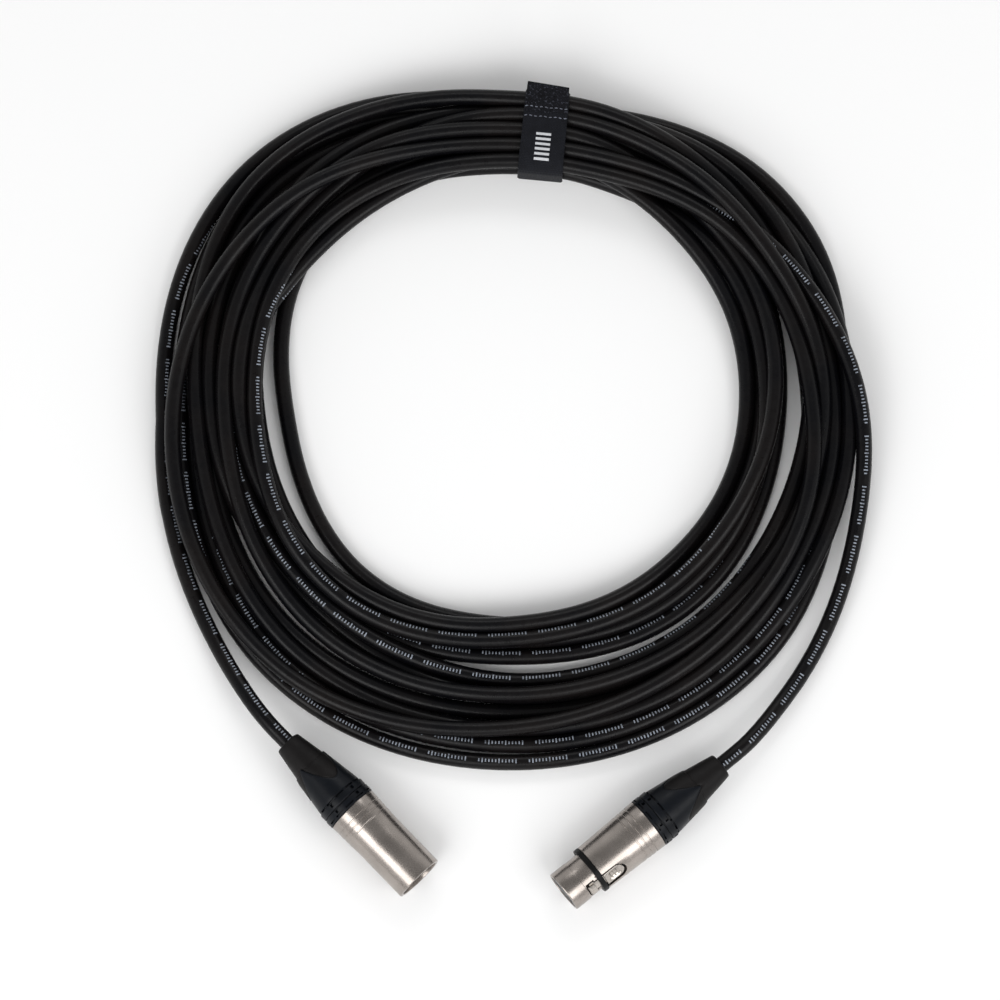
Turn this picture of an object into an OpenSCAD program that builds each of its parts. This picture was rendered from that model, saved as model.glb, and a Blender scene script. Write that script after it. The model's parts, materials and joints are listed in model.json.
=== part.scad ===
// Microphone cable with an XLR plug on each end, wound into a coil and held by a hook-and-loop tie.
// Millimetres. Z is up, the coil lies on the plane z = 0, the tie is at +Y and both plugs are at -Y.

/* [Cable] */
// Outside diameter of the cable's jacket
cable_d = 6; // [5.8:0.1:6.1]

/* [Coil] */
// Outer radius of the coil
coil_outer_r = 127.5; // [126:0.5:127.5]
// Radius of the open middle of the coil
coil_inner_r = 84; // [80:1:86]
// Height of the coil
coil_height = 15; // [14:0.5:15.5]
// How far the coil's centre is behind the origin
coil_y = 24.6; // [24:0.1:25]
// How far the open middle is off the coil's centre, to the right
middle_shift_x = 2.5; // [0:0.5:3]
// How far the open middle is off the coil's centre, towards the tie
middle_shift_y = 12; // [11:0.5:13]

/* [Tie] */
// Width of the tie's woven strap
strap_width = 16.6; // [12:0.2:20]
// Thickness of the strap
strap_t = 1.2; // [0.8:0.1:1.2]
// Height of the bundle of turns inside the tie
bundle_height = 16.4; // [15:0.1:16.5]
// How far the loose end stands past the bundle
loose_end = 1; // [1:0.5:6]
// Direction of the tie, clockwise from +Y as seen from above
tie_angle = 5.6; // [0:0.2:12]

/* [Plugs] */
// Length of the soft boot behind each plug
boot_l = 12.4; // [11:0.2:13]
// Largest radius of a plug, on its coding ring
collar_r = 10.15; // [10:0.05:10.3]
// Radius of the contact pins
pin_r = 1.19; // [1.1:0.01:1.2]
// Diameter of the circle that the contacts stand on
contact_pcd = 8.08; // [7.8:0.02:8.2]
// Radius of the mating bore inside the male shell
mating_bore_r = 8.15; // [8.1:0.01:8.2]
// Outer radius of the female shell's nose
nose_r = 8; // [7.95:0.01:8.05]

/* [Hidden] */
$fn = 64;

// Clearances: between parts of one plug, around the cable in a boot, and a cutting overrun
gap = 0.1;
boot_gap = 0.15;
over = 1;

// Where each plug lies: the middle of its boot's back end, and the direction that it points
male_at = [-83.9, -94.1];
male_heading = -46;
female_at = [75.8, -102.5];
female_heading = -141;
axis_z = 10.2;
// The female plug lies rolled over, so that its latch faces the front right
female_roll = -52;

// Straight cable behind each boot, which lets the boot slide back as its bushing is unscrewed
male_straight = 9;
female_straight = 6;

// Routes of the two tails along their middle, from the straight piece to the coil's side
male_route = [
    [-96.2, -80.2, 9.4], [-101.8, -71.8, 7.4], [-107.2, -62.8, 5.2], [-112.2, -53.4, 3.7],
    [-116.8, -43.8, 3.0], [-120.9, -33.8, 3.0], [-124.4, -23.6, 3.0], [-127.2, -13.2, 3.0],
    [-129.3, -2.6, 3.0], [-130.5, 8.2, 3.0], [-130.9, 19.0, 3.0], [-130.6, 29.8, 3.0],
    [-128.6, 40.4, 3.0]
];
female_route = [
    [86.0, -93.8, 9.8], [91.2, -88.0, 8.8], [96.1, -81.8, 7.4], [100.9, -75.2, 5.8],
    [105.5, -68.2, 4.4], [109.9, -60.6, 3.4], [114.0, -52.6, 3.0], [117.7, -44.2, 3.0],
    [120.9, -35.4, 3.0], [123.7, -26.2, 3.0], [126.0, -16.6, 3.0], [127.9, -6.6, 3.0],
    [129.4, 3.8, 3.0], [130.4, 14.4, 3.0], [130.6, 25.2, 3.0], [129.0, 36.0, 3.0]
];
tube_sides = 10;

// The bundle inside the tie, in the tie's own frame: Y is outward from the coil's centre
bundle_in = 97.5;
bundle_out = 126.5;
bundle_corner_r = 5;
bundle_top = strap_t + gap + bundle_height;
tie_top = bundle_top + gap + strap_t;
tie_window_margin = 10;
flap_t = 0.9;
flap_start = bundle_in + bundle_corner_r;
flap_end = 117.8;
flap_z = tie_top + gap;
stitch_rows = [116.2, 119.8];
stitch_count = 9;
stitch_size = [0.7, 0.5, 0.3];

// Stations along a plug, from the boot's back end towards the mating face
bushing_end = 31.1;
ring_start = bushing_end + gap;
ring_end = 34.4;
shell_start = ring_end + gap;
spigot_end = 40;
thread_end = 42.5;
cone_end = 27.6;
chuck_start = 17;
jaw_end = 26;
male_end = 70.2;
female_end = 74.8;

// Radii that both plugs share
boot_back_r = 4.9;
boot_front_r = 7;
cone_back_r = 7.5;
cone_front_r = 9.6;
thread_r = 8.5;
bushing_bore_r = 6.6;
chuck_r = 6.3;
chuck_bore_r = 5.4;
flange_r = 7.8;
flange_end = spigot_end + 1;
jaw_slot = 0.8;
jaw_taper_l = 2;
jaw_taper = 1;
skirt_r = 6.9;
lead_r = 0.7;
lead_spread = 1.2;
cup_r = 1.6;
cup_bore_r = 1;
cup_l = 3;
lead_in_cup = 0.9;
boot_chamfer = 0.5;
boot_bore_r = cable_d / 2 + boot_gap;
bushing_back_r = cable_d / 2 + 3 * boot_gap;
chuck_jaw_r = cable_d / 2 + gap / 2;
bushing_back_wall = 2;
first_contact_angle = 30;
contact_step = 120;

// Grip grooves on the shells and the collars
groove_depth = 0.25;
groove_w = 0.5;
shell_grooves = [38.2, 40.4, 42.6];

// Male plug: where its insert ends inside the shell, and how far the pins stop behind the rim
insert_face = 55.7;
insert_back = 44.5;
pin_end = male_end - 2;
pin_shank_r = pin_r + 0.25;
pin_shoulder = insert_face + 0.2;
pin_tip = [[0.8, 0], [0.2, 0.35]];
male_back_r = 10;
male_front_r = 9.5;
male_taper_l = 6;
rim_chamfer = 0.4;
catch_back = male_end - 7;
catch_size = [2.6, 5.2, 0.7];
key_rib = [1, 1, 0.4];
key_rib_stop = 3;

// Female plug
nose_start = 60.6;
seal_t = 2;
seal_r = 9.6;
female_back_r = 10.1;
female_front_r = 9.35;
female_taper = 0.35;
female_taper_l = 4;
shoulder_chamfer = 0.3;
nose_chamfer = 0.5;
nose_bore_r = 7;
nose_relief = 0.2;
nose_land_start = 68;
socket_r = 1.7;
socket_bore_r = 1.24;
socket_front = 72;
socket_depth = 13;
pocket_back = 46;
pocket_r = 6.1;
insert_end = female_end - 0.3;
ground_x = [60, 72];
ground_w = 2.4;
ground_t = 0.3;
keyway_angle = 46;
keyway_w = 1.3;
keyway_depth = 0.5;

// Latch, in the female plug's frame before it is rolled, with the latch on top
latch_pivot = [52.4, 7.5];
latch_pivot_r = 0.5;
latch_arm_back = 54;
latch_w = 6.4;
latch_back = 51.6;
latch_pad_end = 60.1;
latch_pad_z = [7.9, 8.9];
latch_arm_z = [6.7, 7.6];
latch_arm_w = 3.6;
latch_hook_start = 64.4;
latch_hook_end = 67.4;
latch_hook_w = 5.2;
latch_hook_top = 8.7;
latch_hook_lip = 0.4;
latch_shoulder_end = 66.4;
latch_slot_end = 67.2;
latch_room = 0.4;
latch_floor = 5.3;
latch_web_overlap = 0.1;
spring_start = 54.2;
spring_size = [5, 2.6, 0.25];
latch_ribs = [54.6, 56, 57.4];
rib_size = [0.5, 3.6, 0.35];

// A tube of round section along a list of points; the first ring is square to the start direction
function unit(v) = v / norm(v);
function tangent(pts, i, start) =
    i == 0 ? start : unit(pts[min(i + 1, len(pts) - 1)] - pts[i - 1]);
function ring(p, t, r) =
    let (side = unit(cross(t, [0, 0, 1])), up = cross(side, t))
    [for (k = [0 : tube_sides - 1])
        let (a = 90 + 360 * k / tube_sides)
        p + r * (cos(a) * side + sin(a) * up)];
module tube(pts, start, r) {
    n = tube_sides;
    rings = [for (i = [0 : len(pts) - 1]) each ring(pts[i], tangent(pts, i, start), r)];
    last = (len(pts) - 1) * n;
    walls = [for (i = [0 : len(pts) - 2], k = [0 : n - 1])
        [i * n + k, i * n + (k + 1) % n, (i + 1) * n + (k + 1) % n, (i + 1) * n + k]];
    caps = [[for (k = [n - 1 : -1 : 0]) k], [for (k = [0 : n - 1]) last + k]];
    polyhedron(points = rings, faces = concat(walls, caps), convexity = 4);
}

// Direction of a heading, and the point at a distance behind a plug's boot
function heading_dir(h) = [cos(h), sin(h), 0];
function behind(at, h, d) = [at[0], at[1], axis_z] - d * heading_dir(h);

module place_male() {
    translate([male_at[0], male_at[1], axis_z])
        rotate([0, 0, male_heading])
            children();
}

module place_female() {
    translate([female_at[0], female_at[1], axis_z])
        rotate([0, 0, female_heading])
            rotate([female_roll, 0, 0])
                children();
}

module place_tie() {
    translate([0, coil_y, 0])
        rotate([0, 0, -tie_angle])
            children();
}

// Solids along a plug's axis
module turned(profile) {
    rotate([0, 90, 0])
        rotate([0, 0, 90])
            rotate_extrude()
                polygon([for (p = profile) [p[1], p[0]]]);
}

module rod(x0, x1, r) {
    translate([x0, 0, 0])
        rotate([0, 90, 0])
            cylinder(h = x1 - x0, r = r);
}

module pipe(x0, x1, r, bore) {
    difference() {
        rod(x0, x1, r);
        rod(x0 - over, x1 + over, bore);
    }
}

// Contact places: number 1 to 3 round the circle, with the gap between two of them on top
function contact_dir(i) =
    let (a = first_contact_angle + contact_step * (i - 1))
    [cos(a), sin(a)];
function contact_yz(i) = contact_pcd / 2 * contact_dir(i);

module at_contact(i) {
    translate([0, contact_yz(i)[0], contact_yz(i)[1]])
        children();
}

// A rounded rectangle made only of squares and circles
module rounded_box(low, high, r) {
    translate([low[0] + r, low[1]])
        square([high[0] - low[0] - 2 * r, high[1] - low[1]]);
    translate([low[0], low[1] + r])
        square([high[0] - low[0], high[1] - low[1] - 2 * r]);
    for (x = [low[0] + r, high[0] - r], y = [low[1] + r, high[1] - r])
        translate([x, y])
            circle(r = r);
}

// A block across the coil's bundle, from a profile of distance outward and height
module across_bundle(width) {
    translate([-width / 2, 0, 0])
        rotate([90, 0, 90])
            linear_extrude(height = width)
                children();
}

// ---- Cable and tie ----

module coil_ring() {
    rim = coil_height / 2;
    translate([0, coil_y, 0])
        difference() {
            rotate_extrude($fn = 128) {
                square([coil_outer_r - rim, coil_height]);
                translate([coil_outer_r - rim, rim])
                    circle(r = rim);
            }
            translate([middle_shift_x, middle_shift_y, -over])
                cylinder(h = coil_height + 2 * over, r = coil_inner_r, $fn = 128);
        }
}

module cable_coil() {
    color([0.06, 0.06, 0.065]) {
        difference() {
            coil_ring();
            place_tie()
                translate([-strap_width / 2 - over, bundle_in - tie_window_margin, -over])
                    cube([
                        strap_width + 2 * over,
                        bundle_out - bundle_in + 2 * tie_window_margin,
                        coil_height + 2 * over
                    ]);
        }
        place_tie()
            across_bundle(strap_width + 2 * over)
                rounded_box([bundle_in, strap_t + gap], [bundle_out, bundle_top], bundle_corner_r);
    }
}

module male_tail_cable() {
    start = heading_dir(male_heading + 180);
    color([0.06, 0.06, 0.065])
        tube(concat([behind(male_at, male_heading, male_straight)], male_route), start, cable_d / 2);
}

module female_tail_cable() {
    start = heading_dir(female_heading + 180);
    color([0.06, 0.06, 0.065])
        tube(
            concat([behind(female_at, female_heading, female_straight)], female_route),
            start, cable_d / 2
        );
}

module cable_end(straight) {
    color([0.06, 0.06, 0.065])
        rod(-straight, jaw_end, cable_d / 2);
}

module tie_strap() {
    low = [bundle_in - gap, strap_t];
    high = [bundle_out + gap, bundle_top + gap];
    color([0.07, 0.07, 0.09])
        place_tie()
            across_bundle(strap_width)
                difference() {
                    rounded_box(
                        low - [strap_t, strap_t], high + [strap_t, strap_t],
                        bundle_corner_r + gap + strap_t
                    );
                    rounded_box(low, high, bundle_corner_r + gap);
                }
}

// The flap's root is round, because the flap lifts about it
module tie_flap() {
    color([0.08, 0.08, 0.1])
        place_tie()
            across_bundle(strap_width) {
                translate([flap_start + flap_t / 2, flap_z])
                    square([flap_end - flap_start - flap_t / 2, flap_t]);
                translate([flap_start + flap_t / 2, flap_z + flap_t / 2])
                    circle(r = flap_t / 2);
            }
}

module tie_hook_tab() {
    color([0.05, 0.05, 0.06])
        place_tie()
            translate([-strap_width / 2, flap_end, flap_z])
                cube([strap_width, bundle_out + strap_t + loose_end - flap_end, flap_t]);
}

module tie_stitching() {
    pitch = strap_width / stitch_count;
    color([0.25, 0.25, 0.3])
        place_tie()
            for (y = stitch_rows, k = [0 : stitch_count - 1])
                translate([
                    -strap_width / 2 + (k + 0.5) * pitch - stitch_size[0] / 2,
                    y - stitch_size[1] / 2,
                    flap_z + flap_t
                ])
                    cube(stitch_size);
}

// ---- Pieces that both plugs have ----

module boot() {
    color([0.09, 0.085, 0.08])
        turned([
            [0, boot_bore_r], [0, boot_back_r - boot_chamfer], [boot_chamfer, boot_back_r],
            [boot_l, boot_front_r], [boot_l, boot_bore_r]
        ]);
}

module bushing() {
    color([0.05, 0.05, 0.06])
        turned([
            [boot_l, bushing_back_r], [boot_l, cone_back_r], [cone_end, cone_front_r],
            [cone_end, cone_front_r - groove_w], [cone_end + groove_w, cone_front_r - groove_w],
            [cone_end + groove_w, collar_r - gap], [bushing_end, collar_r - gap],
            [bushing_end, thread_r], [spigot_end, thread_r], [spigot_end, bushing_bore_r],
            [chuck_start - bushing_back_wall, bushing_bore_r],
            [chuck_start - bushing_back_wall, bushing_back_r]
        ]);
}

module coding_ring() {
    middle = (ring_start + ring_end) / 2;
    color([0.05, 0.05, 0.065])
        difference() {
            pipe(ring_start, ring_end, collar_r, thread_r + gap);
            pipe(middle - groove_w / 2, middle + groove_w / 2, collar_r + over,
                collar_r - groove_depth);
        }
}

// Clamping chuck: slotted jaws on the cable behind, a hollow for the leads and a flange in front
module chuck() {
    color([0.85, 0.85, 0.82])
        difference() {
            turned([
                [chuck_start, chuck_jaw_r], [chuck_start, chuck_r - jaw_taper],
                [chuck_start + jaw_taper_l, chuck_r], [spigot_end + gap, chuck_r],
                [spigot_end + gap, flange_r], [flange_end, flange_r],
                [flange_end, chuck_bore_r], [jaw_end + over, chuck_bore_r],
                [jaw_end + over, chuck_jaw_r]
            ]);
            for (a = [45, 135])
                rotate([a, 0, 0])
                    translate([chuck_start - over, -chuck_r - over, -jaw_slot / 2])
                        cube([jaw_end - chuck_start, 2 * chuck_r + 2 * over, jaw_slot]);
        }
}

// A wire from the cut cable to the solder cup of one contact
module lead(i, cup_x) {
    inner = lead_spread * contact_dir(i);
    from = [jaw_end + 3 * gap, inner[0], inner[1]];
    to = [cup_x + lead_in_cup, contact_yz(i)[0], contact_yz(i)[1]];
    way = to - from;
    color(i == 1 ? [0.75, 0.6, 0.3] : i == 2 ? [0.85, 0.85, 0.85] : [0.2, 0.3, 0.7])
        translate(from)
            rotate([0, acos(way[2] / norm(way)), atan2(way[1], way[0])])
                cylinder(h = norm(way), r = lead_r, $fn = 24);
}

module grooves(r) {
    for (x = shell_grooves)
        pipe(x, x + groove_w, r + over, r - groove_depth);
}

// ---- Male plug ----

module male_shell() {
    color([0.62, 0.59, 0.56]) {
        difference() {
            turned([
                [shell_start, thread_r + gap], [shell_start, male_back_r],
                [thread_end + male_taper_l, male_front_r], [male_end - rim_chamfer, male_front_r],
                [male_end, male_front_r - rim_chamfer], [male_end, mating_bore_r],
                [thread_end, mating_bore_r], [thread_end, thread_r + gap]
            ]);
            grooves(male_back_r - gap);
            // The catch that a socket's latch drops into
            translate([catch_back, -catch_size[1] / 2, 0])
                cube([catch_size[0], catch_size[1], mating_bore_r + catch_size[2]]);
        }
        // The key rib, which runs from in front of the insert to inside the rim
        rotate([-keyway_angle, 0, 0])
            translate([insert_face + key_rib[0], -key_rib[1] / 2, mating_bore_r - key_rib[2]])
                cube([
                    male_end - insert_face - key_rib_stop,
                    key_rib[1],
                    key_rib[2] + gap
                ]);
    }
}

module male_insert() {
    color([0.1, 0.1, 0.1])
        difference() {
            union() {
                rod(insert_back, insert_face, mating_bore_r - gap / 2);
                pipe(flange_end, insert_back, mating_bore_r - gap / 2, skirt_r);
            }
            for (i = [1 : 3])
                at_contact(i)
                    rod(insert_back - over, insert_face + over, pin_shank_r + gap / 2);
        }
}

module contact_pin(i) {
    cup_x = insert_back - cup_l;
    color([0.8, 0.78, 0.74])
        at_contact(i)
            turned([
                [cup_x, cup_bore_r], [cup_x, cup_r], [insert_back - gap, cup_r],
                [insert_back - gap, pin_shank_r], [pin_shoulder, pin_shank_r], [pin_shoulder, pin_r],
                for (p = pin_tip) [pin_end - p[0], pin_r - p[1]],
                [pin_end, 0], [cup_x + cup_l - gap, 0], [cup_x + cup_l - gap, cup_bore_r]
            ]);
}

// ---- Female plug ----

module latch_outline(room) {
    back = latch_back - room;
    half = latch_w / 2 + room;
    translate([back + half, 0])
        circle(r = half);
    translate([back + half, -half])
        square([nose_start + over - back - half, 2 * half]);
}

module latch_cuts() {
    // The pad's arched window in the body
    translate([0, 0, latch_arm_z[0] - latch_room])
        linear_extrude(height = over + female_back_r)
            latch_outline(latch_room);
    // The T-shaped slot in the nose
    translate([nose_start - over, -latch_arm_w / 2 - latch_room, latch_floor])
        cube([
            latch_hook_end + latch_room - nose_start + over,
            latch_arm_w + 2 * latch_room,
            female_back_r
        ]);
    translate([latch_hook_start - latch_room, -latch_hook_w / 2 - latch_room, latch_floor])
        cube([
            latch_slot_end - latch_hook_start + latch_room,
            latch_hook_w + 2 * latch_room,
            female_back_r
        ]);
}

module female_shell() {
    color([0.68, 0.64, 0.6])
        difference() {
            turned([
                [shell_start, thread_r + gap], [shell_start, female_back_r],
                [thread_end + female_taper_l, female_front_r + female_taper],
                [nose_start - shoulder_chamfer, female_front_r],
                [nose_start, female_front_r - shoulder_chamfer],
                [nose_start, nose_r - nose_relief],
                [nose_land_start, nose_r - nose_relief], [nose_land_start, nose_r],
                [female_end - nose_chamfer, nose_r], [female_end, nose_r - nose_chamfer],
                [female_end, nose_bore_r], [thread_end, nose_bore_r], [thread_end, thread_r + gap]
            ]);
            grooves(female_back_r - 2 * gap);
            latch_cuts();
            rotate([-keyway_angle, 0, 0])
                translate([nose_start + seal_t + gap, -keyway_w / 2, nose_r - keyway_depth])
                    cube([female_end, keyway_w, over]);
        }
}

module female_insert() {
    color([0.1, 0.1, 0.1])
        difference() {
            union() {
                rod(flange_end, insert_end, nose_bore_r - gap / 2);
                rod(flange_end, thread_end - gap, thread_r);
            }
            rod(flange_end - over, pocket_back, pocket_r);
            for (i = [1 : 3])
                at_contact(i) {
                    rod(pocket_back - over, socket_front + gap, socket_r + gap / 2);
                    rod(socket_front, insert_end + over, socket_bore_r + gap / 2);
                }
            translate([latch_back - over, -latch_w / 2 - latch_room, latch_floor])
                cube([
                    latch_hook_end + over + latch_room - latch_back,
                    latch_w + 2 * latch_room,
                    nose_bore_r
                ]);
            translate([ground_x[0] - gap, -ground_w / 2 - gap, -nose_bore_r - over])
                cube([
                    ground_x[1] - ground_x[0] + 2 * gap,
                    ground_w + 2 * gap,
                    over + ground_t + 2 * gap
                ]);
        }
}

module contact_socket(i) {
    cup_x = pocket_back - cup_l;
    color([0.8, 0.7, 0.4])
        at_contact(i)
            turned([
                [cup_x, cup_bore_r], [cup_x, socket_r], [socket_front, socket_r],
                [socket_front, socket_bore_r], [socket_front - socket_depth, socket_bore_r],
                [socket_front - socket_depth, 0], [cup_x + cup_l, 0], [cup_x + cup_l, cup_bore_r]
            ]);
}

// Sprung strip that links pin 1's shell path to the mating shell, in a groove on the insert
module female_ground_contact() {
    color([0.75, 0.74, 0.7])
        translate([ground_x[0], -ground_w / 2, -nose_bore_r + gap])
            cube([ground_x[1] - ground_x[0], ground_w, ground_t]);
}

module female_seal_ring() {
    color([0.04, 0.04, 0.04])
        pipe(nose_start + gap / 2, nose_start + seal_t, seal_r, nose_r - nose_relief);
}

module latch_block(x, width, z) {
    translate([x[0], -width / 2, z[0]])
        cube([x[1] - x[0], width, z[1] - z[0]]);
}

module female_latch() {
    color([0.66, 0.62, 0.58]) {
        // The arched pad, which follows the body's round
        intersection() {
            rod(latch_back, latch_pad_end, female_front_r - 2 * gap);
            translate([0, 0, latch_pad_z[0]])
                linear_extrude(height = latch_pad_z[1] - latch_pad_z[0] + over)
                    intersection() {
                        latch_outline(0);
                        translate([latch_back, -latch_w / 2])
                            square([latch_pad_end - latch_back, latch_w]);
                    }
        }
        for (x = latch_ribs)
            translate([x, -rib_size[1] / 2, latch_pad_z[1]])
                cube(rib_size);
        // The pivot bar, the arm with its web up to the pad, and the T-shaped hook
        translate([latch_pivot[0], latch_arm_w / 2, latch_pivot[1]])
            rotate([90, 0, 0])
                cylinder(h = latch_arm_w, r = latch_pivot_r);
        latch_block([latch_arm_back, latch_hook_end], latch_arm_w, latch_arm_z);
        latch_block(
            [latch_arm_back, latch_pad_end], latch_arm_w,
            [latch_arm_z[1] - latch_web_overlap, latch_pad_z[0] + latch_web_overlap]
        );
        latch_block([latch_hook_start, latch_shoulder_end], latch_hook_w, latch_arm_z);
        latch_block(
            [latch_hook_start + latch_hook_lip, latch_hook_end], latch_arm_w,
            [latch_arm_z[0], latch_hook_top]
        );
    }
}

// Leaf spring under the latch, near its pivot
module female_latch_spring() {
    color([0.75, 0.75, 0.72])
        translate([spring_start, -spring_size[1] / 2, latch_arm_z[0] - gap - spring_size[2]])
            cube(spring_size);
}

// ---- Drawing ----

cable_coil();
male_tail_cable();
female_tail_cable();
place_male() cable_end(male_straight);  // male_cable_end
place_female() cable_end(female_straight);  // female_cable_end
tie_strap();
tie_flap();
tie_hook_tab();
tie_stitching();
place_male() male_shell();
place_male() male_insert();
place_male() contact_pin(1);  // male_pin_1
place_male() contact_pin(2);  // male_pin_2
place_male() contact_pin(3);  // male_pin_3
place_male() chuck();  // male_chuck
place_male() lead(1, insert_back - cup_l);  // male_lead_1
place_male() lead(2, insert_back - cup_l);  // male_lead_2
place_male() lead(3, insert_back - cup_l);  // male_lead_3
place_male() coding_ring();  // male_coding_ring
place_male() bushing();  // male_bushing
place_male() boot();  // male_boot
place_female() female_shell();
place_female() female_insert();
place_female() contact_socket(1);  // female_socket_1
place_female() contact_socket(2);  // female_socket_2
place_female() contact_socket(3);  // female_socket_3
place_female() female_ground_contact();
place_female() female_seal_ring();
place_female() female_latch();
place_female() female_latch_spring();
place_female() chuck();  // female_chuck
place_female() lead(1, pocket_back - cup_l);  // female_lead_1
place_female() lead(2, pocket_back - cup_l);  // female_lead_2
place_female() lead(3, pocket_back - cup_l);  // female_lead_3
place_female() coding_ring();  // female_coding_ring
place_female() bushing();  // female_bushing
place_female() boot();  // female_boot
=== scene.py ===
"""Looks of a coiled microphone cable: the wound cable, its hook-and-loop tie and its two XLR plugs.

Pieces are modelled in millimetres: a plug's in its own frame, with X from the boot's back end to the mating
face, and the tie's in a frame whose Y points outward from the coil's centre.
"""

import json
import math

import bmesh
import bpy
import numpy as np
from mathutils import Matrix, Vector


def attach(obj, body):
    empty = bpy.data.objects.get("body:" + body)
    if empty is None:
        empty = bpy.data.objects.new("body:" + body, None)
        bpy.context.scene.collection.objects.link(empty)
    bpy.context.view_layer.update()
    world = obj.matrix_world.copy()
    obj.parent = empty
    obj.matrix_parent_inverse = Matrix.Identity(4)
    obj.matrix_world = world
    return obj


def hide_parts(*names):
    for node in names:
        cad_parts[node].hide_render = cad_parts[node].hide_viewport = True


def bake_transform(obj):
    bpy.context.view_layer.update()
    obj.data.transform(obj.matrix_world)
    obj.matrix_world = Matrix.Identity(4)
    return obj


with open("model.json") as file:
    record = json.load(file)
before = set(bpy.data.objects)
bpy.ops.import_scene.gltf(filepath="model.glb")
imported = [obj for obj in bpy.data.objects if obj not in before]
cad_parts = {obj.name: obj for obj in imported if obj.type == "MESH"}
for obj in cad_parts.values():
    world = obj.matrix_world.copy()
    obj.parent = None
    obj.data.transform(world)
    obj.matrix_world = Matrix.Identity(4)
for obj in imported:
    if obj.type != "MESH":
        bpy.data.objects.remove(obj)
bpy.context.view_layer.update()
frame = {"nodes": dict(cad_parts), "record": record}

MM = 0.001

# ---- Where the CAD model has things, in millimetres ----

CABLE_R = 3.0
COIL_CENTRE = (0.0, 24.6)
AXIS_Z = 10.2
MALE_AT, MALE_HEADING = (-83.9, -94.1), -46
FEMALE_AT, FEMALE_HEADING, FEMALE_ROLL = (75.8, -102.5), -141, -52
# The cable's end lies this far inside each boot, and comes straight out of it for a while
INSIDE_BOOT = 25
MALE_STRAIGHT, FEMALE_STRAIGHT = 9, 6
MALE_ROUTE = (
    (-96.2, -80.2, 9.4), (-101.8, -71.8, 7.4), (-107.2, -62.8, 5.2), (-112.2, -53.4, 3.7),
    (-116.8, -43.8, 3.0), (-120.9, -33.8, 3.0), (-124.4, -23.6, 3.0), (-127.2, -13.2, 3.0),
    (-129.3, -2.6, 3.0), (-130.5, 8.2, 3.0), (-130.9, 19.0, 3.0), (-130.6, 29.8, 3.0),
)
FEMALE_ROUTE = (
    (86.0, -93.8, 9.8), (91.2, -88.0, 8.8), (96.1, -81.8, 7.4), (100.9, -75.2, 5.8),
    (105.5, -68.2, 4.4), (109.9, -60.6, 3.4), (114.0, -52.6, 3.0), (117.7, -44.2, 3.0),
    (120.5, -35.4, 3.0), (122.8, -26.2, 3.0), (124.7, -16.6, 3.0), (126.2, -6.6, 3.0),
    (127.3, 3.8, 3.0), (128.1, 14.4, 3.0), (128.3, 25.2, 3.0),
)

# The tie, with the bundle of turns that it goes round
TIE_TURN = -5.6
BUNDLE_IN, BUNDLE_OUT, BUNDLE_CORNER = 97.5, 126.5, 5.0
BUNDLE_TOP = 17.7
GAP = 0.1
STRAP_T, STRAP_W = 1.2, 16.6
FLAP_END, FLAP_STOP = 117.8, 128.7
FLAP_Z, FLAP_T = 19.1, 0.9
STITCH_ROWS, STITCH_COUNT = (116.2, 119.8), 9
END_SLANT = 0.07

# ---- The cable's way: wound turn by turn, then settled under its own weight ----

# Each turn's distance from the coil's centre, from the first wound to the last, at the stations below
STATIONS = (45, 0, -45, -90, -135, -180, -225)
TURNS = (
    (129.5, 116.9, 121.0, 123.6, 127.5, 122.0, 129.8),
    (123.9, 119.2, 117.0, 113.8, 116.6, 117.2, 126.5),
    (120.5, 117.2, 111.2, 106.7, 115.3, 113.1, 123.0),
    (102.8, 94.1, 84.5, 79.2, 81.0, 84.6, 103.5),
    (105.0, 93.2, 85.7, 79.2, 88.5, 97.2, 111.9),
    (115.1, 112.3, 110.4, 102.5, 96.7, 112.1, 124.8),
    (110.1, 96.1, 88.1, 84.0, 94.2, 103.3, 122.0),
    (125.2, 115.5, 114.0, 113.3, 118.0, 117.5, 135.3),
    (122.1, 112.8, 102.3, 96.9, 98.4, 107.2, 102.0),
    (99.1, 89.7, 80.7, 75.7, 87.0, 101.6, 111.4),
    (115.6, 116.5, 105.8, 100.1, 104.7, 107.2, 117.8),
    (104.3, 92.6, 82.5, 77.8, 91.1, 97.9, 104.9),
    (110.5, 114.3, 110.0, 112.8, 125.6, 126.7, 120.7),
)
# The tie's angle round the coil, and each pass's cell in it: column outward and layer upward
TIE_ANGLE = 90 + TIE_TURN
TIE_COLUMNS = (100.3, 106.15, 112.0, 117.85, 123.7)
TIE_CELLS = (
    (4, 0), (3, 0), (2, 0), (1, 0), (0, 0), (1.5, 1), (2.5, 1), (3.5, 1), (4, 2), (0.5, 1),
    (3, 2), (2, 2), (0, 2), (1, 2),
)
TIE_FLOOR, TIE_LAYER = 1.3, 5.24
# It holds a pass fully for this many degrees, and lets go over so many more
TIE_HOLD = (5.0, 7.0)
# Degrees from point to point, rise of each turn as wound, and how strongly a turn is sent over one it crosses
STEP, LIFT, OVER = 2.0, 7.0, 4.0
# Settling: number of rounds, and each stage's fall, pull back to the plan and smoothing
SETTLING = 620
FAST, SLOW, LAST = (0.45, 0.04, 2.5), (0.15, 0.03, 2.5), (0.04, 0.01, 3.0)
SLOW_FROM, LAST_FROM = 0.5, 0.8
# How much of each tail, in millimetres, keeps exactly to its route, and over how many degrees it loosens
MALE_KEPT, FEMALE_KEPT, LOOSENING = 100, 55, 12.0
# The winding takes over from a tail's route this many millimetres after its straight part
TAKE_OVER = 8
# One more place on each tail: its angle round the coil, and distance from the centre
FIRST_TAIL_OUT, LAST_TAIL_OUT = (-225, 139.5), (45, 111.5)
# Where the female tail joins its route, in points from the winding's end
JOINING = (2, 62)


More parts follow.
